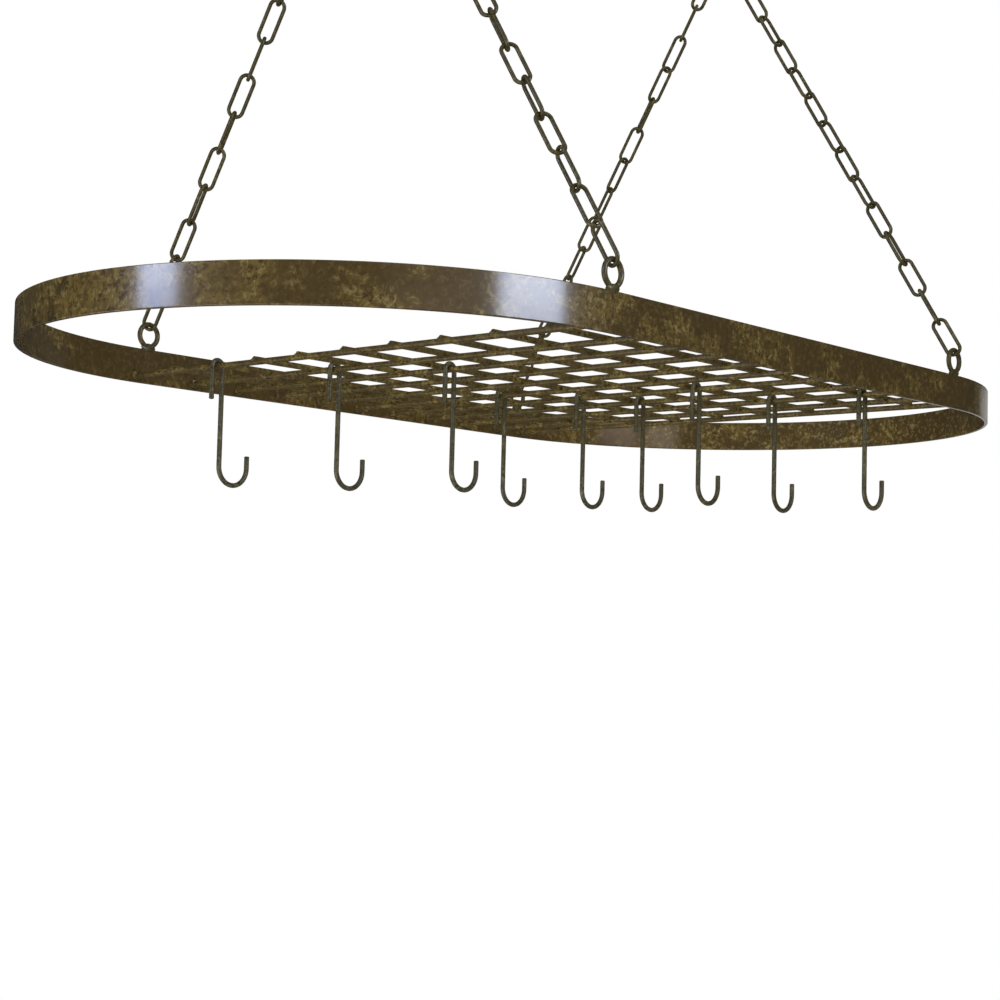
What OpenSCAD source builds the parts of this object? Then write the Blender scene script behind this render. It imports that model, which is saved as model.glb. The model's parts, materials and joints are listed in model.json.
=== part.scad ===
// Hanging pot rack: an oval band of flat bar that holds a welded grid of rods,
// hung by four chains from two screw hooks in the ceiling, with loose pot hooks.
// The origin is midway between the two ceiling hooks, at the ceiling's face.
// X runs along the rack, Y across it and Z up.

/* [Band] */
// Length of the oval over the outside of the band
rack_length = 840; // [760:1:960]
// Width of the oval over the outside of the band
rack_width = 432; // [400:1:500]
// Height of the flat bar
band_height = 25; // [20:1:40]
// Thickness of the flat bar
band_thick = 3; // [2:0.5:5]

/* [Grid] */
// Diameter of every rod in the grid
rod_d = 4.2; // [3:0.1:6]
// Height of the cross rods' centres above the band's lower edge
rod_height = 5; // [4:0.5:8]
// How far the long rods sink into the cross rods at their welds
weld_sink = 2; // [0.5:0.1:2]
// Number of rods that run across the rack
cross_rods = 11; // [10:1:13]
// Distance between the inner cross rods
cross_pitch = 42.4; // [38:0.2:46]
// Distance from the left end rod to its neighbour
left_gap = 54; // [36:1:60]
// Distance from the right end rod to its neighbour
right_gap = 37; // [36:1:60]
// Number of rods that run along the rack
long_rods = 9; // [7:1:9]
// Distance between the long rods
long_pitch = 43.1; // [36:0.1:46]
// How far a long rod stands past the end rods
rod_overhang = 1; // [0.5:0.5:10]

/* [Eyes] */
// Distance between the left and the right pair of chains
hanger_spacing = 412; // [360:1:440]
// Wire of the eyes that stand on the band
eye_wire = 3.6; // [2.5:0.1:4]
// Radius of an eye's ring, to the middle of its wire
eye_radius = 8; // [7:0.5:10]
// Height of an eye's ring centre above the band's upper edge
eye_lift = 10.5; // [10:0.5:16]
// Distance between an eye's two legs at the band
eye_foot = 4; // [3:0.2:6]

/* [Chains] */
// Number of links in a chain, an odd number so that both its ends lie alike
links = 15; // [11:2:19]
// Wire of a link
link_wire = 2.7; // [1.8:0.1:3]
// Length of the space inside a link
link_inside = 28.2; // [24:0.2:34]
// Width of the space inside a link
link_mouth = 7.2; // [6.6:0.2:9]

/* [Ceiling hooks] */
// Wire of a ceiling hook and its screw
hook_wire = 5; // [4:0.1:6]
// Radius of a ceiling hook's round, to the middle of its wire
hook_radius = 14; // [12:0.5:20]
// Radius of the bend between the screw and the round
neck_radius = 5; // [4:0.5:7]
// Depth of the round's lowest point below the ceiling
hook_drop = 44; // [40:1:60]
// Angle by which the round stops short of its top, which leaves the mouth
hook_mouth = 60; // [50:5:80]
// Length of the screw above the ceiling
screw_length = 34; // [30:1:50]
// Length of plain shank between the ceiling and the thread
plain_shank = 8; // [4:1:12]
// Length of the screw's point
screw_point = 5; // [3:1:8]

/* [Pot hooks] */
// Wire of a pot hook
pot_wire = 3.5; // [2.4:0.1:4]
// Length of a pot hook from top to bottom
pot_length = 89; // [80:1:120]
// How much wider the bend that goes over a rod is than the rod
rod_room = 1.1; // [0.6:0.1:4]
// Distance between the two sides of the bend that takes a pot
pot_bend = 25; // [18:1:30]
// Length of the short side that hangs behind the rod
short_side = 29; // [20:1:40]
// Height of the hook's tip above its lowest point
tip_rise = 23; // [19:1:40]

/* [Hidden] */
// Gap between hung wires, which lets each one turn on the next
seat_gap = 0.3;
// Gap between two rods at a weld, and between a rod's end and the band
weld_gap = 0.05;
// Least room between the two chains that share a ceiling hook
chain_room = 1.2;
// Straight stretch before and after the wide corner of a ceiling hook
corner_straight = 1;
// Number of screw ridges and the depth cut between them
ridges = 9;
ridge_cut = 0.6;
$fn = 64;
// Facets of the band's round ends
band_fn = 720;

half_length = rack_length / 2;
half_width = rack_width / 2;
// The oval has straight sides, and each end is a half circle round this point
end_centre = half_length - half_width;

// Half the oval's width at x, with the outline moved in by the inset
function half_at(x, inset) =
    x < end_centre ? half_width - inset : sqrt(pow(half_width - inset, 2) - pow(x - end_centre, 2));

// The two chains of a pair hang side by side on their ceiling hook
chain_apart = link_wire + chain_room;
hanger_x = hanger_spacing / 2;
eye_y = half_at(hanger_x, band_thick / 2);

// Straight length from a ceiling hook's wire to an eye's wire, and its slope
chain_run = links * link_inside - (links + 1) * seat_gap - (hook_wire + eye_wire) / 2;
chain_fall = sqrt(pow(chain_run, 2) - pow(eye_y, 2));
chain_lean = atan(eye_y / chain_fall);

eye_top = -hook_drop - chain_fall;
band_top = eye_top - eye_radius - eye_lift;
band_foot = band_top - band_height;
cross_z = band_foot + rod_height;
long_z = cross_z + rod_d - weld_sink;

// The end rods stand alike from the middle, and the inner rods a little to the right
grid_length = left_gap + cross_pitch * (cross_rods - 3) + right_gap;
function cross_x(n) =
    n == 1 ? -grid_length / 2 :
    n == cross_rods ? grid_length / 2 :
    left_gap + cross_pitch * (n - 2) - grid_length / 2;
function long_y(n) = long_pitch * (n - (long_rods + 1) / 2);

// Each pot hook's cross rod, and its place counted in long rods from the first one
pot_seats = [
    [1, 7.87], [2, 6.47], [3, 4.87],
    [6, 6.36], [7, 5.37], [8, 4.8],
    [7, 2.89], [9, 2.67], [9, 0.88]
];

// Turn of the links about the chain, at the eye, half way up and at the ceiling
near_left_turn = [-17, -55, 0];
far_left_turn = [22, 50, 8];
near_right_turn = [22, -23, 0];
far_right_turn = [0, 180, 360];

bronze = "#4b3f24";
dark_bronze = "#3c3420";
olive_bronze = "#564a2a";

// Wire bent to a radius, from one angle to another, in the XZ plane
module bent_wire(radius, wire, from, to) {
    rotate([90, 0, 0])
        rotate([0, 0, from])
            rotate_extrude(angle = to - from)
                translate([radius, 0])
                    circle(d = wire);
}

// Straight wire between two heights at a given x
module upright_wire(x, low, high, wire) {
    translate([x, 0, low])
        cylinder(d = wire, h = high - low);
}

module oval_band() {
    color(bronze)
        translate([0, 0, band_foot]) {
            for (end = [-1, 1])
                translate([end * end_centre, 0])
                    rotate([0, 0, -90 * end])
                        rotate_extrude(angle = 180, $fn = band_fn)
                            translate([half_width - band_thick, 0])
                                square([band_thick, band_height]);
            for (side = [-1, 1])
                translate([-end_centre, side * (half_width - band_thick / 2) - band_thick / 2, 0])
                    cube([2 * end_centre, band_thick, band_height]);
        }
}

module rod_along_y(x, length, diameter) {
    translate([x, -length / 2, cross_z])
        rotate([-90, 0, 0])
            cylinder(d = diameter, h = length);
}

// A cross rod ends square against the inside of the band
module cross_rod(n) {
    reach = half_at(abs(cross_x(n)) + rod_d / 2, band_thick) - weld_gap;
    color(dark_bronze)
        rod_along_y(cross_x(n), 2 * reach, rod_d);
}

// A long rod lies on the cross rods and is pressed into each of them at the weld
module long_rod(n) {
    low = cross_x(1) - rod_overhang;
    high = cross_x(cross_rods) + rod_overhang;
    color(dark_bronze)
        difference() {
            translate([low, long_y(n), long_z])
                rotate([0, 90, 0])
                    cylinder(d = rod_d, h = high - low);
            for (m = [1:cross_rods])
                rod_along_y(cross_x(m), rack_width, rod_d + 2 * weld_gap);
        }
}

// Two short legs stand on the band's upper edge and carry the ring
leg_top = eye_lift - sqrt(pow(eye_radius, 2) - pow(eye_foot / 2, 2));

module eye(end, side) {
    color(olive_bronze)
        translate([end * hanger_x + side * chain_apart / 2, side * eye_y, band_top]) {
            translate([0, 0, eye_lift])
                rotate([90, 0, 0])
                    rotate_extrude()
                        translate([eye_radius, 0])
                            circle(d = eye_wire);
            for (leg = [-1, 1])
                upright_wire(leg * eye_foot / 2, 0, leg_top, eye_wire);
        }
}

link_round = (link_mouth + link_wire) / 2;
link_straight = (link_inside + link_wire) / 2 - link_round;

module link() {
    for (side = [-1, 1])
        upright_wire(side * link_round, -link_straight, link_straight, link_wire);
    translate([0, 0, link_straight])
        bent_wire(link_round, link_wire, 0, 180);
    translate([0, 0, -link_straight])
        bent_wire(link_round, link_wire, 180, 360);
}

// A link's turn eases from the eye to the middle of the chain, then to the top
function turn_at(turn, up) =
    up < 0.5 ? turn[0] + (turn[1] - turn[0]) * up * 2 : turn[1] + (turn[2] - turn[1]) * (up * 2 - 1);

// Links first to last of a chain, counted down from the ceiling hook
module chain(end, side, turn, first, last) {
    color(olive_bronze)
        translate([end * hanger_x + side * chain_apart / 2, 0, -hook_drop])
            rotate([side * chain_lean, 0, 0])
                for (k = [first:last])
                    translate([0, 0, link_height(k)])
                        rotate([0, 0, 90 * k + turn_at(turn, (links - k) / (links - 1))])
                            link();
}

function link_height(k) =
    hook_wire / 2 + seat_gap - link_inside / 2 - (k - 1) * (link_inside - seat_gap);

// The wire leaves the screw sideways, turns down a wider corner and runs on round
corner_radius = hook_radius - neck_radius - corner_straight;
round_z = hook_radius - hook_drop;
corner_z = round_z + corner_straight;
neck_z = corner_z + corner_radius + neck_radius;

module ceiling_hook(end) {
    color(olive_bronze)
        translate([end * hanger_x, 0, 0]) {
            translate([0, 0, round_z])
                mirror([0, 0, 1])
                    bent_wire(hook_radius, hook_wire, 0, 270 - hook_mouth);
            upright_wire(hook_radius, round_z, corner_z, hook_wire);
            translate([neck_radius + corner_straight, 0, corner_z])
                bent_wire(corner_radius, hook_wire, 0, 90);
            translate([neck_radius, 0, corner_z + corner_radius])
                rotate([0, 90, 0])
                    cylinder(d = hook_wire, h = corner_straight);
            translate([neck_radius, 0, neck_z])
                bent_wire(neck_radius, hook_wire, 180, 270);
            screw();
        }
}

ridge_pitch = (screw_length - plain_shank - screw_point) / ridges;

// The thread is a row of ridges that are as wide as the shank
module screw() {
    crest = hook_wire / 2;
    root = crest - ridge_cut;
    rotate_extrude()
        polygon(concat(
            [[0, neck_z], [crest, neck_z], [crest, plain_shank]],
            [for (k = [0:ridges - 1], step = [1:2])
                [step == 1 ? root : crest, plain_shank + (k + step / 2) * ridge_pitch]],
            [[0, screw_length]]
        ));
}

// A pot hook hangs on its rod's centre line, which is the line that it swings on
module pot_hook(n) {
    seat = pot_seats[n - 1];
    small = (rod_d + pot_wire + rod_room) / 2;
    large = pot_bend / 2;
    small_z = rod_d / 2 + seat_gap + pot_wire / 2 - small;
    top = small_z + small + pot_wire / 2;
    large_z = top - pot_length + pot_wire / 2 + large;
    color(olive_bronze)
        translate([cross_x(seat[0]), long_y(seat[1]), cross_z]) {
            upright_wire(-small, top - short_side, small_z, pot_wire);
            translate([0, 0, small_z])
                bent_wire(small, pot_wire, 0, 180);
            upright_wire(small, large_z, small_z, pot_wire);
            translate([small + large, 0, large_z])
                bent_wire(large, pot_wire, 180, 360);
            upright_wire(small + pot_bend, large_z, top - pot_length + tip_rise, pot_wire);
        }
}

oval_band();
for (n = [1:cross_rods])
    cross_rod(n);
for (n = [1:long_rods])
    long_rod(n);

eye(-1, -1);  // near_left_eye
eye(-1, 1);  // far_left_eye
eye(1, -1);  // near_right_eye
eye(1, 1);  // far_right_eye

chain(-1, -1, near_left_turn, 2, links);  // near_left_chain
chain(-1, 1, far_left_turn, 2, links);  // far_left_chain
chain(1, -1, near_right_turn, 2, links);  // near_right_chain
chain(1, 1, far_right_turn, 2, links);  // far_right_chain

chain(-1, -1, near_left_turn, 1, 1);  // near_left_top_link
chain(-1, 1, far_left_turn, 1, 1);  // far_left_top_link
chain(1, -1, near_right_turn, 1, 1);  // near_right_top_link
chain(1, 1, far_right_turn, 1, 1);  // far_right_top_link

ceiling_hook(-1);  // left_ceiling_hook
ceiling_hook(1);  // right_ceiling_hook

for (n = [1:len(pot_seats)])
    pot_hook(n);
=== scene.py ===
# %% [markdown]
# # A hanging pot rack in antique bronze
# An oval band of flat bar holds a welded grid of rods. Four chains carry it from two screw hooks in
# the ceiling, and loose pot hooks hang on the rods. The measured frame gives every piece its place
# and size, so each cell below reads its numbers from the frame and adds only what the frame leaves
# out: softened edges, cut wire ends, butt joints, welds, a real screw thread and the painted finish.

import json
import math

import bmesh
import bpy
from mathutils import Matrix, Vector, noise

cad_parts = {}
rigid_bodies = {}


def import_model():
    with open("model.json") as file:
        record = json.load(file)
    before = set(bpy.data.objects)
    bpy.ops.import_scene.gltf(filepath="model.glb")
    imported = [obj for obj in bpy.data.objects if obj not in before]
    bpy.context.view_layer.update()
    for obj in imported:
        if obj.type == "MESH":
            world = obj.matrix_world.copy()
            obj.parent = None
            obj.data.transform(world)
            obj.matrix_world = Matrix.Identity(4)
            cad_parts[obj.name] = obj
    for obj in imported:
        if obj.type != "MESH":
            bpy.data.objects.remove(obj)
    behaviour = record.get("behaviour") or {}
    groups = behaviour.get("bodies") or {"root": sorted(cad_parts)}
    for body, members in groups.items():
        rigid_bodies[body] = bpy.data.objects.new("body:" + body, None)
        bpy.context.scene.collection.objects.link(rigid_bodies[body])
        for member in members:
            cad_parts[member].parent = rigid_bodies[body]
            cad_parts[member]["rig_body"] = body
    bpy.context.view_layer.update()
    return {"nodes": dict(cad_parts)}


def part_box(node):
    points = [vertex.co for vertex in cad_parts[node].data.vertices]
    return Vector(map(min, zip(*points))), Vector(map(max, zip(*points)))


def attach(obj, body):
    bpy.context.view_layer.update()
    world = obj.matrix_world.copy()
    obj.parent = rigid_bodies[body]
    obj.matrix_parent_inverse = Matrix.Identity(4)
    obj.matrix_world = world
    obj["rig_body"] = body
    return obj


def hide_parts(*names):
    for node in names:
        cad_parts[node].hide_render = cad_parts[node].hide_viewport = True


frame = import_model()
nodes = frame["nodes"]
print("nodes in the frame:", len(nodes))

# %% [markdown]
# ## The camera
# The photograph was taken from a little below the rack and to the left of its near side. The four
# edges of the oval band give the camera's place, turn, tilt and roll, and its focal length in pixels
# of a picture 1000 pixels wide. A sensor 36 mm wide turns that into a lens in millimetres. A target to
# track could aim the camera too, but not roll it, so its rotation is worked out from the three angles.

# %% Camera
picture_width = 1000
focal_pixels = 1906.6
camera_place = Vector((-1.0688, -0.8856, -0.6150))
camera_turn = math.radians(-48.81)
camera_tilt = math.radians(3.98)
camera_roll = math.radians(1.45)


def looking(turn, tilt, roll):
    """Rotation of a camera that looks along +Y, turned, then tilted up, then rolled."""
    level = math.cos(tilt)
    forward = Vector((-math.sin(turn) * level, math.cos(turn) * level, math.sin(tilt)))
    side = forward.cross(Vector((0, 0, 1))).normalized()
    upright = side.cross(forward)
    right = math.cos(roll) * side + math.sin(roll) * upright
    up = math.cos(roll) * upright - math.sin(roll) * side
    return Matrix((right, up, -forward)).transposed()


camera_data = bpy.data.cameras.new("photo_camera")
camera_data.sensor_width = 36
camera_data.lens = focal_pixels * camera_data.sensor_width / picture_width
camera = bpy.data.objects.new("photo_camera", camera_data)
camera.matrix_world = looking(camera_turn, camera_tilt, camera_roll).to_4x4()
camera.location = camera_place
bpy.context.scene.collection.objects.link(camera)
bpy.context.scene.camera = camera
print("lens", round(camera_data.lens, 2), "mm")

# %% [markdown]
# ## Shader maths as plain sums
# A finish is a web of nodes, and a web is hard to read. Here a small class wraps one output of one
# node, so that `0.3 + 0.2 * patches` adds the two Math nodes by itself. Every other kind of node
# comes from one method, which takes its type, its settings and the values or links of its inputs.
# The same two classes serve the materials and the world.


# %% Sockets that can be added and multiplied
class Flow:
    """One output of a node. Sums with it add Math nodes to its finish."""

    def __init__(self, finish, socket):
        self.finish = finish
        self.socket = socket

    def maths(self, operation, *values):
        """A Math node on the given values, in their order."""
        return self.finish.node("ShaderNodeMath", {"operation": operation}, dict(enumerate(values)))

    def __add__(self, other):
        return self.maths("ADD", self, other)

    def __sub__(self, other):
        return self.maths("SUBTRACT", self, other)

    def __rsub__(self, other):
        return self.maths("SUBTRACT", other, self)

    def __mul__(self, other):
        return self.maths("MULTIPLY", self, other)

    def __abs__(self):
        return self.maths("ABSOLUTE", self)

    __radd__ = __add__
    __rmul__ = __mul__


class Finish:
    """The nodes of a material or of the world, and the one way in which they are made."""

    def __init__(self, owner):
        owner.use_nodes = True
        self.owner = owner
        self.tree = owner.node_tree
        self.tree.nodes.clear()

    def node(self, kind, settings=None, inputs=None, output=0):
        """Any node: first its settings are set, then its inputs get their values or links."""
        made = self.tree.nodes.new(kind)
        for key, value in (settings or {}).items():
            setattr(made, key, value)
        for key, value in (inputs or {}).items():
            if isinstance(value, Flow):
                self.tree.links.new(value.socket, made.inputs[key])
            else:
                made.inputs[key].default_value = value
        return Flow(self, made.outputs[output]) if made.outputs else None

    def noise(self, place, size, detail=3.0, roughness=0.55, swirl=0.0):
        """Cloudy noise whose lumps are about size metres across, from 0 to 1."""
        return self.node("ShaderNodeTexNoise", None, {
            "Vector": place, "Scale": 1 / size, "Detail": detail, "Roughness": roughness,
            "Distortion": swirl})

    def rise(self, value, low, high):
        """0 at low, 1 at high and a smooth slope between them. High may be the lesser one."""
        return self.node("ShaderNodeMapRange", {"interpolation_type": "SMOOTHSTEP"}, {
            "Value": value, "From Min": low, "From Max": high})

    def blend(self, share, first, second):
        """The first colour where share is 0, and the second where it is 1.

        A Mix node has inputs A and B for each kind of value, so its colour sockets go by number."""
        first_colour, second_colour, result = 6, 7, 2
        return self.node("ShaderNodeMix", {"data_type": "RGBA"}, {
            0: share, first_colour: first, second_colour: second}, result)

    def surface(self, shader, output="ShaderNodeOutputMaterial"):
        """Ends the web with its output node, and gives the material or the world back."""
        self.node(output, None, {"Surface": shader})
        return self.owner


# %% [markdown]
# ## A white room that mirrors dimly
# The photograph stands on plain white, but the rack's lacquer mirrors a dark room. So the world is
# white to the camera, plain to everything that it lights, and dim to glossy rays. The Light Path node
# knows what kind of ray asks, so one world can be all three.

# %% World
background_white = (1, 1, 1, 1)
room_level = 0.82
mirrored_room = 0.03


def white_world():
    """White to the camera, dim to reflections, and plain to everything that it lights."""
    room = Finish(bpy.data.worlds.new("white_room"))
    path = "ShaderNodeLightPath"
    seen = room.node(path, output="Is Camera Ray")
    mirrored = room.node(path, output="Is Glossy Ray")
    through = room.node(path, output="Is Transmission Ray")
    white = seen.maths("MAXIMUM", seen, through)
    level = room_level + (1 - room_level) * white
    strength = level * (1 - mirrored) + mirrored_room * mirrored
    glow = room.node("ShaderNodeBackground", None, {"Color": background_white, "Strength": strength})
    return room.surface(glow, "ShaderNodeOutputWorld")


bpy.context.scene.world = white_world()
bpy.context.scene.view_settings.view_transform = "Standard"
print("room", room_level, "and in reflections", mirrored_room)

# %% [markdown]
# ## Soft boxes and cards that the band mirrors
# Each pale patch on the band is the mirror image of a lamp, so a lamp is placed by the bearing that the
# mirrored ray takes from the middle of its patch. Two bluish soft boxes make the two bright patches of
# the near side. The low card makes the dull warm patch on the far inside, the end card makes the sheen
# on the right tip, and the foot card makes the thin pale line along the lower edge at the left. All of
# them only make reflections. The light that shows the paint itself comes from the room and from one
# large lamp above.


# %% Lamps
def middle_of(name):
    """The middle of a node's box in the frame."""
    low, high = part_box(name)
    return (low + high) / 2


band_middle = middle_of("oval_band").z
near_patch = Vector((-0.27, -0.205, band_middle))
left_patch = Vector((-0.413, -0.055, band_middle))
far_patch = Vector((0.33, 0.17, band_middle))
right_patch = Vector((0.36, -0.15, band_middle))
pale_blue = (0.68, 0.77, 1.0)
clear_blue = (0.58, 0.68, 1.0)
warm_grey = (1.0, 0.84, 0.68)
warm_white = (1.0, 0.97, 0.92)


def lamp(name, place, target, width, tall, glow, colour):
    """A rectangular lamp whose face has the brightness glow, turned towards its target."""
    light = bpy.data.lights.new(name, "AREA")
    light.shape = "RECTANGLE"
    light.size = width
    light.size_y = tall
    light.color = colour
    light.energy = glow * math.pi * width * tall
    made = bpy.data.objects.new(name, light)
    made.location = place
    made.rotation_euler = (target - place).to_track_quat("-Z", "Y").to_euler()
    made.visible_camera = False
    bpy.context.scene.collection.objects.link(made)
    return made


def soft_box(name, patch, bearing, distance, low, tall, width, glow, colour):
    """A lamp that the band mirrors at patch, and that only glossy rays see.

    Bearing is in degrees from +X towards +Y, and low is the lower edge's height above the patch."""
    turn = math.radians(bearing)
    level = Vector((math.cos(turn), math.sin(turn), 0)) * distance
    place = patch + level + Vector((0, 0, low + tall / 2))
    box = lamp(name, place, place - level, width, tall, glow, colour)
    box.visible_diffuse = False
    return box


soft_box("right_soft_box", near_patch, bearing=-75.4, distance=1.2, low=0.160, tall=0.6, width=0.545,
         glow=16.2, colour=pale_blue)
soft_box("left_soft_box", left_patch, bearing=157.1, distance=6.0, low=0.92, tall=2.4, width=1.84,
         glow=17.0, colour=clear_blue)
soft_box("low_card", far_patch, bearing=-115, distance=8.0, low=0.1, tall=0.76, width=3.6,
         glow=4.2, colour=warm_grey)
soft_box("end_card", right_patch, bearing=15, distance=2.5, low=-0.6, tall=0.96, width=1.4,
         glow=0.5, colour=warm_white)
soft_box("foot_card", left_patch, bearing=172, distance=1.5, low=-1.7, tall=1.5, width=3.4,
         glow=2.4, colour=warm_white)
lamp("top_lamp", Vector((-0.9, -1.3, 1.2)), Vector((0, 0, band_middle)), width=1.4, tall=1.4,
     glow=1.3, colour=warm_white)

# %% [markdown]
# ## Gauzes that dim two mirrored lamps
# The far inside of the band mirrors both soft boxes as well, but the photograph shows only one dull
# patch there. Blender can keep a lamp off some objects, but the band is one object. So an upright dark
# gauze hangs between its far inside and each box, out of the way of the near side's mirrored rays. The
# camera and the diffuse light don't see the gauzes.


# %% Gauzes
def gauze(name, left, right, foot, top, tint):
    """An upright sheet from left to right that only dims what glossy rays see through it."""
    mesh = bpy.data.meshes.new(name)
    corners = [(*left, foot), (*right, foot), (*right, top), (*left, top)]
    mesh.from_pydata(corners, [], [[0, 1, 2, 3]])
    finish = Finish(bpy.data.materials.new(name))
    sheer = finish.node("ShaderNodeBsdfTransparent", None, {"Color": tint})
    mesh.materials.append(finish.surface(sheer))
    made = bpy.data.objects.new(name, mesh)
    bpy.context.scene.collection.objects.link(made)
    made.visible_camera = False
    made.visible_diffuse = False
    print(name, "from", left, "to", right)


gauze("right_gauze", left=(-0.02, -0.62), right=(0.38, -0.60), foot=-0.43, top=0.02,
      tint=(0.24, 0.18, 0.13, 1))
gauze("left_gauze", left=(-1.10, 0.33), right=(-1.10, 1.20), foot=-0.43, top=0.40,
      tint=(0.04, 0.04, 0.03, 1))

# %% [markdown]
# ## Antique bronze paint
# The real rack is coated dark brown, then rubbed with olive gold in cloudy patches, and covered all
# over with short curly strokes, some pale and some dark, under a glossy lacquer. A painted picture
# would have to be wrapped round every rod and link, with seams, so the paint is worked out from noise
# in each piece's own space. Each layer is a noise of its own size. A stroke is the thin line where a
# swirled noise crosses its middle value, broken up by a second noise. The strokes also thin the
# lacquer a little, so that they show as faint streaks in the pale reflections too. The band's left
# tip is rubbed more than the rest, and dark blots show there. Its right end has more pale strokes.
# Both changes begin and end at distances along the rack, in metres from its middle.

# %% The finish
brown = (0.0705, 0.0437, 0.0102, 1)
olive = (0.181, 0.124, 0.0247, 1)
tan = (0.330, 0.260, 0.110, 1)
umber = (0.030, 0.017, 0.004, 1)
tip_from = -0.365
tip_to = -0.412
flecks_from = 0.30
flecks_to = 0.38


def bronze(slot, ground, patina, gleam, shade, patch, grain, wear, lacquer, gloss):
    """Antique bronze with patches and grains of the given sizes, in metres, for one slot."""
    finish = Finish(bpy.data.materials.new("antique_" + slot))
    finish.owner["slot"] = slot
    place = finish.node("ShaderNodeTexCoord", output="Object")
    along = finish.node("ShaderNodeSeparateXYZ", None, {"Vector": place})

    def curls(size, thin, wide):
        """1 on thin curly strokes and 0 between them."""
        line = abs(finish.noise(place, size, detail=1.5, roughness=0.5, swirl=1.2) - 0.5)
        return 1 - finish.rise(line, thin, wide)

    tip = finish.rise(along, tip_from, tip_to)
    clouds = finish.noise(place, patch, detail=4, roughness=0.6)
    regions = finish.rise(clouds + 0.08 * tip, 0.48, 0.60)
    mottle = finish.rise(finish.noise(place, grain * 1.7, detail=3, roughness=0.7), 0.36, 0.64)
    breaks = finish.rise(finish.noise(place, grain * 2, detail=1), 0.44, 0.58)
    pale = curls(grain * 3.2, 0.01, 0.07) * breaks
    dark = curls(grain * 2.6, 0.01, 0.08) * (1 - breaks)

    rubbed = 0.06 + 0.08 * mottle + 0.26 * tip + regions * (0.26 + 0.34 * mottle)
    colour = finish.blend(rubbed, ground, patina)
    blots = finish.rise(finish.noise(place, patch * 0.4, detail=3, roughness=0.6), 0.54, 0.62)
    colour = finish.blend(blots * (0.06 + 0.50 * tip), colour, shade)
    colour = finish.blend(dark * (wear + 0.5 * regions), colour, shade)
    flecks = finish.rise(along, flecks_from, flecks_to)
    colour = finish.blend(pale * (0.12 + 0.36 * regions + 0.30 * flecks), colour, gleam)

    height = 0.4 * mottle + pale - 0.5 * dark
    bump = finish.node("ShaderNodeBump", None, {
        "Strength": 0.35, "Distance": 0.00005, "Height": height})
    shader = finish.node("ShaderNodeBsdfPrincipled", None, {
        "Base Color": colour,
        "Metallic": 0.12,
        "Roughness": 0.40 + 0.12 * mottle,
        "Specular IOR Level": 0.12,
        "Coat Weight": lacquer - 0.08 * pale - 0.08 * dark,
        "Coat Roughness": gloss,
        "Coat IOR": 1.55,
        "Normal": bump})
    return finish.surface(shader)


band_bronze = bronze("band_bronze", brown, olive, tan, umber,
                     patch=0.032, grain=0.0020, wear=0.20, lacquer=1.0, gloss=0.165)
rod_bronze = bronze("rod_bronze", (0.088, 0.060, 0.015, 1), (0.205, 0.150, 0.030, 1),
                    (0.44, 0.34, 0.13, 1), (0.022, 0.014, 0.004, 1),
                    patch=0.016, grain=0.0015, wear=0.6, lacquer=0.30, gloss=0.30)
chain_bronze = bronze("chain_bronze", (0.062, 0.051, 0.015, 1), (0.125, 0.106, 0.030, 1),
                      (0.26, 0.21, 0.10, 1), umber,
                      patch=0.016, grain=0.0015, wear=0.5, lacquer=0.40, gloss=0.30)
hook_bronze = bronze("hook_bronze", (0.077, 0.070, 0.035, 1), (0.132, 0.122, 0.060, 1),
                     (0.28, 0.25, 0.16, 1), umber,
                     patch=0.016, grain=0.0015, wear=0.5, lacquer=0.45, gloss=0.30)
print("finishes:", [m.name for m in (band_bronze, rod_bronze, chain_bronze, hook_bronze)])

# %% [markdown]
# ## Wire, bent and cut
# Nearly all of the rack is round wire: rods, eyes, links and hooks. A curve with a round bevel would
# make such a tube, but its cut ends come out sharp, and a sawn end has a small chamfer. So the rings
# of the tube are worked out here. Each piece of wire is bent in one plane, so its tube can't twist: at
# every point of the curve, one direction square to the plane and one square to the curve make the
# circle.


# %% Bends and tubes
def arc(centre, radius, start, end, steps=16):
    """Points of a bend in the XZ plane, at angles in degrees from +X towards +Z."""
    turns = [math.radians(start + (end - start) * k / steps) for k in range(steps + 1)]
    return [centre + radius * Vector((math.cos(t), 0, math.sin(t))) for t in turns]


def wire(points, radius, across=Vector((0, 1, 0)), sides=18, chamfer=0.0003):
    """Tube round a flat curve, whose plane is square to across. Gives corners and faces."""
    last = len(points) - 1
    ways = [(points[min(i + 1, last)] - points[max(i - 1, 0)]).normalized() for i in range(last + 1)]
    rings = [(p, w, radius) for p, w in zip(points, ways)]
    rings[0] = (points[0] + ways[0] * chamfer, ways[0], radius)
    rings[-1] = (points[-1] - ways[-1] * chamfer, ways[-1], radius)
    rings.insert(0, (points[0], ways[0], radius - chamfer))
    rings.append((points[-1], ways[-1], radius - chamfer))
    corners = []
    for point, way, reach in rings:
        out = way.cross(across).normalized()
        for k in range(sides):
            turn = 2 * math.pi * k / sides
            corners.append(point + reach * (math.cos(turn) * out + math.sin(turn) * across))
    faces = [[i * sides + k, i * sides + (k + 1) % sides,
              (i + 1) * sides + (k + 1) % sides, (i + 1) * sides + k]
             for i in range(len(rings) - 1) for k in range(sides)]
    faces.append(list(range(sides)))
    faces.append([len(corners) - 1 - k for k in range(sides)])
    return corners, faces


# %% Shapes put together or moved
def together(shapes):
    """Several shapes as one list of corners and one of faces."""
    corners, faces = [], []
    for more_corners, more_faces in shapes:
        start = len(corners)
        corners.extend(more_corners)
        faces.extend([start + i for i in face] for face in more_faces)
    return corners, faces


def moved(shape, matrix):
    """A shape with a matrix applied to its corners."""
    corners, faces = shape
    return [matrix @ corner for corner in corners], faces


# %% A piece, made and fastened to its body
sharp_from = math.radians(35)


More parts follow.
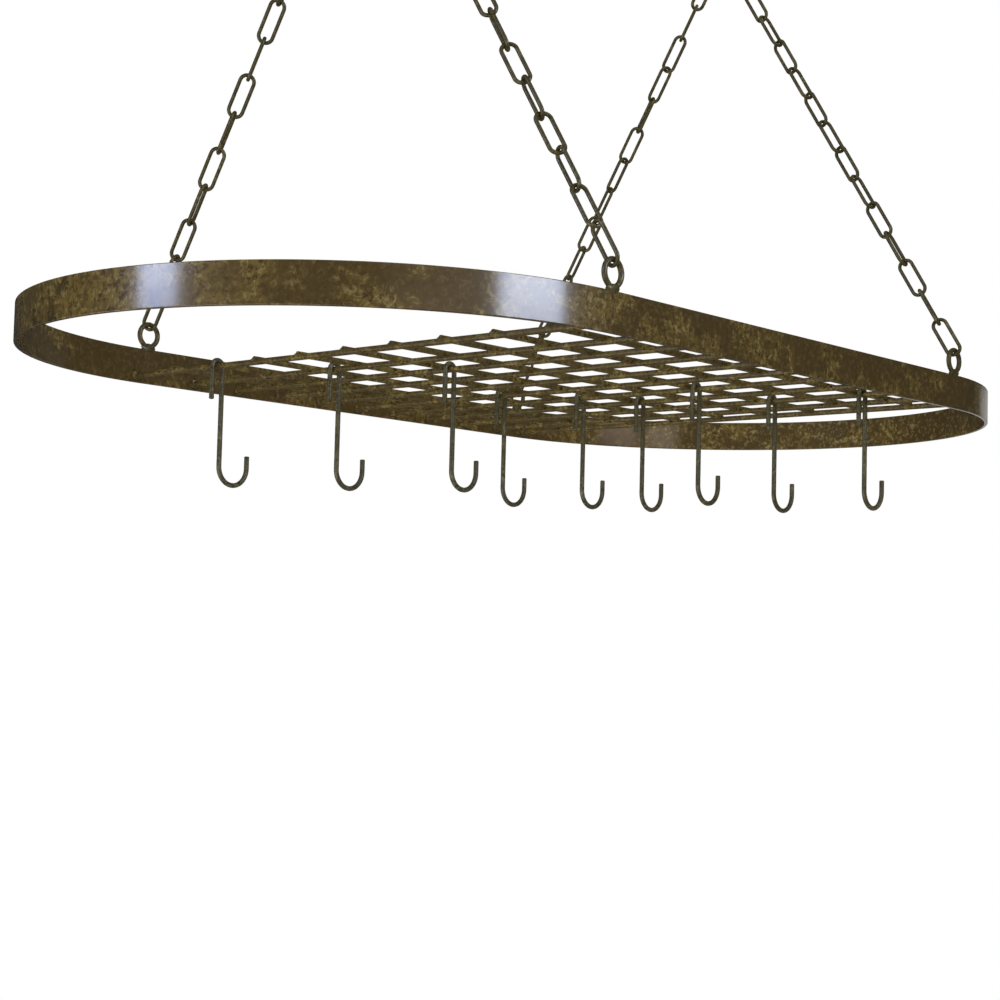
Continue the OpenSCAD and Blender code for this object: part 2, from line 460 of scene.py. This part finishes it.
def piece(name, shape, material, stands_for=None, body=None):
    """A mesh object that takes the place of a CAD node, or is added to a body."""
    corners, faces = shape
    mesh = bpy.data.meshes.new(name)
    mesh.from_pydata([tuple(corner) for corner in corners], [], faces)
    shaped = bmesh.new()
    shaped.from_mesh(mesh)
    bmesh.ops.recalc_face_normals(shaped, faces=shaped.faces)
    shaped.to_mesh(mesh)
    shaped.free()
    mesh.polygons.foreach_set("use_smooth", [True] * len(mesh.polygons))
    mesh.set_sharp_from_angle(angle=sharp_from)
    mesh.materials.append(material)
    made = bpy.data.objects.new(name, mesh)
    bpy.context.scene.collection.objects.link(made)
    if stands_for:
        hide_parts(stands_for)
        body = nodes[stands_for]["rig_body"]
    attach(made, body)
    return made


# %% [markdown]
# ## The oval band
# The band is one length of flat bar, bent round both ends and welded into a ring. The corners of
# rolled bar are never sharp, and the thin bright line along the band's lower edge in the photograph
# is one of these rounded corners. So the bar's section is a rectangle with four small bends, swept
# along two straight sides and two half circles. Bevelling a finished ring would do too, but sweeping
# makes every corner alike in one go.

# %% The band's middle line and the bar's section
band_low, band_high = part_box("oval_band")
bar_thick = 0.003
corner_bend = 0.0006
half_length = (band_high.x - band_low.x) / 2
half_width = (band_high.y - band_low.y) / 2
end_centre = half_length - half_width
band_top = band_high.z
band_foot = band_low.z


def oval_stations(steps_round, steps_straight):
    """Points of the band's middle line with their outward directions, once round the oval."""
    stations = []
    for end in (1, -1):
        centre = Vector((end * end_centre, 0, 0))
        for k in range(steps_round):
            turn = math.pi * (k / steps_round - 0.5) + (0 if end > 0 else math.pi)
            out = Vector((math.cos(turn), math.sin(turn), 0))
            stations.append((centre + out * (half_width - bar_thick / 2), out))
        out = Vector((0, end, 0))
        for k in range(steps_straight):
            along = end * end_centre * (1 - 2 * k / steps_straight)
            stations.append((Vector((along, end * (half_width - bar_thick / 2), 0)), out))
    return stations


def bar_section(steps=4):
    """Outline of the flat bar's section: distance outward and height."""
    outline = []
    reach = bar_thick / 2 - corner_bend
    for side, height, start in ((1, band_top, 0), (-1, band_top, 90), (-1, band_foot, 180),
                                (1, band_foot, 270)):
        inward = corner_bend if height == band_foot else -corner_bend
        for k in range(steps + 1):
            turn = math.radians(start + 90 * k / steps)
            outline.append((side * reach + corner_bend * math.cos(turn),
                            height + inward + corner_bend * math.sin(turn)))
    return outline


print("band", round(2 * half_length, 4), "by", round(2 * half_width, 4), "m")


# %% Oval band
def oval_band():
    """The bar's section at every station, joined into one ring."""
    stations = oval_stations(steps_round=120, steps_straight=30)
    section = bar_section()
    count = len(section)
    corners = [point + out * reach + Vector((0, 0, height))
               for point, out in stations for reach, height in section]
    faces = []
    for i in range(len(stations)):
        after = (i + 1) % len(stations)
        for k in range(count):
            beside = (k + 1) % count
            faces.append([i * count + k, i * count + beside, after * count + beside, after * count + k])
    return corners, faces


band = piece("bronze_oval_band", oval_band(), band_bronze, "oval_band")
# The wide faces keep their flat shading, and the small bends take up the whole turn
flat_faces_first = band.modifiers.new("flat_faces_first", "WEIGHTED_NORMAL")
flat_faces_first.keep_sharp = True
print("band", len(band.data.polygons), "faces")

# %% [markdown]
# ## The grid
# Eleven rods run across the rack and nine lie on top of them. The frame's boxes give each rod's
# ends, so a rod is a straight wire from box to box. The long rods were cut with shears, which
# leaves their ends a little blunt past the outer cross rods.

# %% Rods
sawn_chamfer = 0.0001
sheared_chamfer = 0.0012


def rod(name, end_chamfer):
    """A straight wire along the longer way of its box."""
    low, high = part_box(name)
    middle = middle_of(name)
    along_y = high.y - low.y > high.x - low.x
    reach = Vector((0, high.y - middle.y, 0)) if along_y else Vector((high.x - middle.x, 0, 0))
    radius = (high.x - low.x if along_y else high.z - low.z) / 2
    line = [middle - reach, middle, middle + reach]
    shape = wire(line, radius, across=Vector((0, 0, 1)), sides=24, chamfer=end_chamfer)
    return piece("bronze_" + name, shape, rod_bronze, name)


cross_rods = sorted((n for n in nodes if n.startswith("cross_rod_")), key=lambda n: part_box(n)[0].x)
long_rods = sorted((n for n in nodes if n.startswith("long_rod_")), key=lambda n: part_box(n)[0].y)
for name in cross_rods:
    rod(name, sawn_chamfer)
for name in long_rods:
    rod(name, sheared_chamfer)
print(len(cross_rods), "cross rods and", len(long_rods), "long rods")

# %% [markdown]
# ## Welds
# Where two rods cross, current and pressure melt them together and a little metal squeezes out round
# the joint. At the band each cross rod has a small fillet. There are over a hundred of these lumps, too
# many to shape by hand, so one function makes a ball, draws it out to the wanted size and pushes it in
# and out with noise. The noise takes its values from the place, so that no two welds are alike.

# %% A weld bead
lumps_on_ball = 1.7
welds_apart = 900


def bead(centre, size, lumpiness=0.16, rows=7, columns=12):
    """A lump of weld metal with the given half sizes."""
    corners, faces = [], []
    for i in range(rows + 1):
        tilt = math.pi * i / rows
        for k in range(1 if i in (0, rows) else columns):
            turn = 2 * math.pi * k / columns
            ball = Vector((math.sin(tilt) * math.cos(turn), math.sin(tilt) * math.sin(turn),
                           math.cos(tilt)))
            swell = 1 + lumpiness * noise.noise(ball * lumps_on_ball + centre * welds_apart)
            corners.append(centre + Vector(a * b for a, b in zip(ball, size)) * swell)
    last = len(corners) - 1
    for k in range(columns):
        beside = (k + 1) % columns
        faces.append([0, 1 + k, 1 + beside])
        faces.append([last, last - columns + beside, last - columns + k])
        for i in range(rows - 2):
            row = 1 + i * columns
            faces.append([row + k, row + columns + k, row + columns + beside, row + beside])
    return corners, faces


# %% Welds of the grid
rod_low, rod_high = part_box(cross_rods[0])
rod_thick = rod_high.z - rod_low.z
weld_height = (rod_high.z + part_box(long_rods[0])[0].z) / 2
crossings = [Vector((middle_of(across).x, middle_of(along).y, weld_height))
             for across in cross_rods for along in long_rods]
squeezed_out = Vector((0.58, 0.58, 0.46)) * rod_thick
piece("grid_welds", together(bead(c, squeezed_out) for c in crossings), rod_bronze, body="rack")

inset = 0.0004
rod_feet = []
for name in cross_rods:
    low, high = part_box(name)
    middle = middle_of(name)
    for end, edge in ((1, high.y), (-1, low.y)):
        rod_feet.append(Vector((middle.x, edge - end * inset, middle.z)))
fillet = Vector((0.95, 0.50, 0.90)) * rod_thick
piece("rod_end_welds", together(bead(f, fillet, lumpiness=0.22) for f in rod_feet), rod_bronze,
      body="rack")
print(len(crossings), "crossing welds and", len(rod_feet), "rod end welds")

# %% [markdown]
# ## The eyes
# Each eye is one short wire bent into a ring. Its two ends come together in a blunt point on the
# band's upper edge, where a broad weld buries them. A smooth curve joins each end to the ring, so
# that the opening is round above and a little pointed at its foot, as in the photograph.

# %% Eyes
ring_ends_at = 228
foot_spread = 0.4
foot_pull = Vector((-0.1, 0, 0.25))
ring_pull = 0.35


def curve(start, start_way, end_way, end, steps=8):
    """A smooth bend from start to end, pulled towards the two points between them."""
    points = []
    for k in range(steps):
        t = k / steps
        s = 1 - t
        points.append(s ** 3 * start + 3 * s * s * t * start_way + 3 * s * t * t * end_way + t ** 3 * end)
    return points


def eye(name):
    """Makes one eye and gives the place of its foot."""
    low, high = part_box(name)
    thick = high.y - low.y
    ring = (high.x - low.x - thick) / 2
    middle = middle_of(name)
    centre = Vector((middle.x, middle.y, high.z - thick / 2 - ring))
    foot = Vector((middle.x - thick * foot_spread, middle.y, low.z))
    turn = math.radians(ring_ends_at)
    edge = centre + ring * Vector((math.cos(turn), 0, math.sin(turn)))
    way = Vector((math.sin(turn), 0, -math.cos(turn)))
    leg = curve(foot, foot + foot_pull * ring, edge - ring_pull * ring * way, edge)
    other_leg = [Vector((2 * middle.x - p.x, p.y, p.z)) for p in reversed(leg)]
    line = leg + arc(centre, ring, ring_ends_at, 180 - ring_ends_at, steps=40) + other_leg
    piece("bronze_" + name, wire(line, thick / 2, sides=20, chamfer=0), chain_bronze, name)
    return Vector((middle.x, middle.y, low.z))


eye_feet = [eye(n) for n in sorted(nodes) if n.endswith("_eye")]
foot_weld = Vector((0.0060, 0.0022, 0.0036))
weld_rise = Vector((0, 0, 0.0010))
eye_beads = [bead(f + weld_rise, foot_weld, lumpiness=0.25, rows=9, columns=18) for f in eye_feet]
piece("eye_welds", together(eye_beads), chain_bronze, body="rack")
print(len(eye_feet), "eyes")

# %% [markdown]
# ## The chains
# A link is a length of wire bent into a long oval until its two ends meet in the middle of one
# side. Links hang in each other at a fixed step along a straight line from the ceiling hook to the
# eye. Every second link is turned by a quarter turn, and a slow twist on top of that shows some
# links open and others edge-on, differently on each chain, as in the photograph. An array would
# repeat one link along a line, but each link turns by its own angle here, so a loop hangs them.

# %% A link
link_wire = 0.0027
link_inside = 0.0282
link_mouth = 0.0072


def link():
    """One link, upright in the XZ plane, with its butt joint half way up one side."""
    bend = (link_mouth + link_wire) / 2
    straight = (link_inside + link_wire) / 2 - bend
    joint = 0.00005
    top = arc(Vector((0, 0, straight)), bend, 0, 180)
    bottom = arc(Vector((0, 0, -straight)), bend, 180, 360)
    line = [Vector((bend, 0, joint))] + top + bottom + [Vector((bend, 0, -joint))]
    return wire(line, link_wire / 2, sides=14, chamfer=0.00018)


# %% Chains
play = 0.0003
link_step = link_inside - play
# Twist in degrees at the eye, half way up and at the ceiling
twists = {"near_left": (-17, -55, 0), "far_left": (22, 50, 8),
          "near_right": (22, -23, 0), "far_right": (0, 180, 360)}


def twist_at(twist, share):
    """Twist at a share of the way up, which changes evenly on each half of the way."""
    foot, middle, top = twist
    if share < 0.5:
        return foot + (middle - foot) * share * 2
    return middle + (top - middle) * (share * 2 - 1)


def hang(corner):
    """The links of one chain, from its ceiling hook down to its eye."""
    end = corner.split("_")[1]
    hook_low, hook_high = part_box(end + "_ceiling_hook")
    eye_low, eye_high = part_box(corner + "_eye")
    hook_wire = hook_high.y - hook_low.y
    eye_wire = eye_high.y - eye_low.y
    upper = Vector(((eye_low.x + eye_high.x) / 2, 0, hook_low.z + hook_wire / 2))
    lower = Vector((upper.x, (eye_low.y + eye_high.y) / 2, eye_high.z - eye_wire / 2))
    lean = math.atan2(lower.y, upper.z - lower.z)
    first = hook_wire / 2 + play - link_inside / 2
    count = round((lower - upper).length / link_step)
    shapes = []
    for k in range(count):
        turn = 90 * (k + 1) + twist_at(twists[corner], 1 - k / (count - 1))
        place = (Matrix.Translation(upper) @ Matrix.Rotation(lean, 4, "X")
                 @ Matrix.Translation((0, 0, first - k * link_step))
                 @ Matrix.Rotation(math.radians(turn), 4, "Z"))
        shapes.append(moved(link(), place))
    piece("bronze_" + corner + "_top_link", shapes[0], chain_bronze, corner + "_top_link")
    piece("bronze_" + corner + "_chain", together(shapes[1:]), chain_bronze, corner + "_chain")
    return count


for corner in twists:
    print(corner, "chain:", hang(corner), "links")

# %% [markdown]
# ## The pot hooks
# A pot hook is a straight wire with a small bend that goes over a rod and a wide one that takes the
# load. Its box in the frame gives the wire, from the box's depth, and the wide bend, from its width.
# So one function can bend all nine. Both ends are sawn off square, with a small chamfer.

# %% Pot hooks
small_bend = 0.0044
short_side = 0.029
tip_rise = 0.023
lead_in = 0.001
shank_steps = 6


def pot_hook(name):
    """Short side, small bend over the rod, shank, wide bend and tip, in one wire."""
    low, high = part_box(name)
    thick = high.y - low.y
    y = (low.y + high.y) / 2
    wide_bend = (high.x - low.x - thick) / 2 - small_bend
    left = low.x + thick / 2
    over = Vector((left + small_bend, y, high.z - thick / 2 - small_bend))
    under = Vector((left + 2 * small_bend + wide_bend, y, low.z + thick / 2 + wide_bend))
    line = [Vector((left, y, high.z - short_side)), Vector((left, y, over.z - lead_in))]
    line += arc(over, small_bend, 180, 0)
    shank = left + 2 * small_bend
    drop = (under.z - over.z) / shank_steps
    line += [Vector((shank, y, over.z + drop * k)) for k in range(1, shank_steps)]
    line += arc(under, wide_bend, 180, 360, steps=24)
    line.append(Vector((high.x - thick / 2, y, low.z + tip_rise)))
    return piece("bronze_" + name, wire(line, thick / 2, chamfer=0.00045), hook_bronze, name)


pot_hooks = [pot_hook(n) for n in sorted(nodes) if n.startswith("pot_hook_")]
print(len(pot_hooks), "pot hooks")

# %% [markdown]
# ## The ceiling hooks
# They are common screw hooks: a thick wire bent into a round with a mouth at one side, and a wood
# screw cut on its upper end. The thread is a true helix. Winding a profile up the shank would leave
# it loose at both ends, so the surface is a grid of points round the shank instead. Each point's
# distance from the middle depends on where it lies between two turns, and the groove fades in.

# %% A wood screw
thread_start = 0.008
thread_depth = 0.0006
thread_turns = 10
point_length = 0.005
groove_power = 0.7
point_rows = 8


def wood_screw(foot, crest, top, columns=28, rows_in_turn=10):
    """Shank, helical thread and point, round the Z axis, from foot to top."""
    pitch = (top - point_length - thread_start) / thread_turns
    heights = [foot, thread_start / 2]
    rows = thread_turns * rows_in_turn
    heights += [thread_start + pitch * k / rows_in_turn for k in range(rows + 1)]
    heights += [top - point_length * (1 - k / point_rows) for k in range(1, point_rows)]
    corners = [Vector((0, 0, foot))]
    for z in heights:
        taper = min(1, (top - z) / point_length)
        fade = max(0, min(1, (z - thread_start) / pitch))
        for k in range(columns):
            place = ((z - thread_start) / pitch - k / columns) % 1
            wave = 0.5 - 0.5 * math.cos(2 * math.pi * place)
            groove = fade * thread_depth * wave ** groove_power
            reach = (crest - groove) * taper
            turn = 2 * math.pi * k / columns
            corners.append(Vector((reach * math.cos(turn), reach * math.sin(turn), z)))
    corners.append(Vector((0, 0, top)))
    faces = []
    last = len(corners) - 1
    for k in range(columns):
        beside = (k + 1) % columns
        faces.append([0, 1 + beside, 1 + k])
        faces.append([last, last - columns + k, last - columns + beside])
        for i in range(len(heights) - 1):
            row = 1 + i * columns
            faces.append([row + k, row + beside, row + columns + beside, row + columns + k])
    return corners, faces


# %% Ceiling hooks
round_bend = 0.014
neck_bend = 0.005
neck_straight = 0.001
mouth = 60
into_screw = 0.002


def ceiling_hook(name):
    """A round with a mouth, a neck that leads back to the middle, and the wood screw."""
    low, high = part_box(name)
    thick = high.y - low.y
    x = (low.x + high.x) / 2
    centre = Vector((x, 0, low.z + thick / 2 + round_bend))
    turn_bend = round_bend - neck_bend - neck_straight
    corner = centre + Vector((neck_bend + neck_straight, 0, neck_straight))
    neck = corner + Vector((-neck_straight, 0, turn_bend + neck_bend))
    line = arc(centre, round_bend, 90 + mouth, 360, steps=36)
    line += arc(corner, turn_bend, 0, 90, steps=12)
    line += arc(neck, neck_bend, 270, 180, steps=10)
    line.append(Vector((x, 0, neck.z + into_screw)))
    screw = moved(wood_screw(neck.z, thick / 2, high.z), Matrix.Translation((x, 0, 0)))
    shape = together([wire(line, thick / 2, sides=28, chamfer=0.0006), screw])
    return piece("bronze_" + name, shape, hook_bronze, name)


for name in ("left_ceiling_hook", "right_ceiling_hook"):
    made = ceiling_hook(name)
    print(made.name, len(made.data.polygons), "faces")

# %% [markdown]
# ## The floor
# The floor lies a room's height below the ceiling. A shadow catcher would need a picture without a
# background, so this is a plain floor. Round the spot below the rack it lets a share of its real
# shading through, which is where the rack's soft shadow shows. Further out it fades to the
# background's white, so that no edge or horizon shows. In the lacquer it looks dim, like the room.

# %% Floor
room_height = 2.4
floor_reach = 6.0
shadow_reach = 1.4
fade_out = 3.2
least_white = 0.7
floor_paint = (0.8, 0.8, 0.8, 1)
mirrored_floor = (0.22, 0.20, 0.18, 1)


def floor_finish():
    """Real shading mixed with plain white for the camera, and dim to glossy rays."""
    finish = Finish(bpy.data.materials.new("white_floor"))
    path = "ShaderNodeLightPath"
    seen = finish.node(path, output="Is Camera Ray")
    mirrored = finish.node(path, output="Is Glossy Ray")
    through = finish.node(path, output="Is Transmission Ray")
    place = finish.node("ShaderNodeTexCoord", output="Object")
    from_middle = finish.node("ShaderNodeVectorMath", {"operation": "LENGTH"}, {0: place}, "Value")
    white_share = least_white + (1 - least_white) * finish.rise(from_middle, shadow_reach, fade_out)
    paint = finish.node("ShaderNodeBsdfDiffuse", None, {"Color": floor_paint})
    colour = finish.blend(mirrored, background_white, mirrored_floor)
    glow = finish.node("ShaderNodeEmission", None, {"Color": colour, "Strength": 1.0})
    share = white_share * seen + mirrored + through
    return finish.surface(finish.node("ShaderNodeMixShader", None, {0: share, 1: paint, 2: glow}))


floor_mesh = bpy.data.meshes.new("floor")
quarters = ((-1, -1), (1, -1), (1, 1), (-1, 1))
floor_corners = [(x * floor_reach, y * floor_reach, 0) for x, y in quarters]
floor_mesh.from_pydata(floor_corners, [], [[0, 1, 2, 3]])
floor_mesh.materials.append(floor_finish())
floor = bpy.data.objects.new("floor", floor_mesh)
floor.location.z = -room_height
bpy.context.scene.collection.objects.link(floor)
print("floor", room_height, "m below the ceiling")
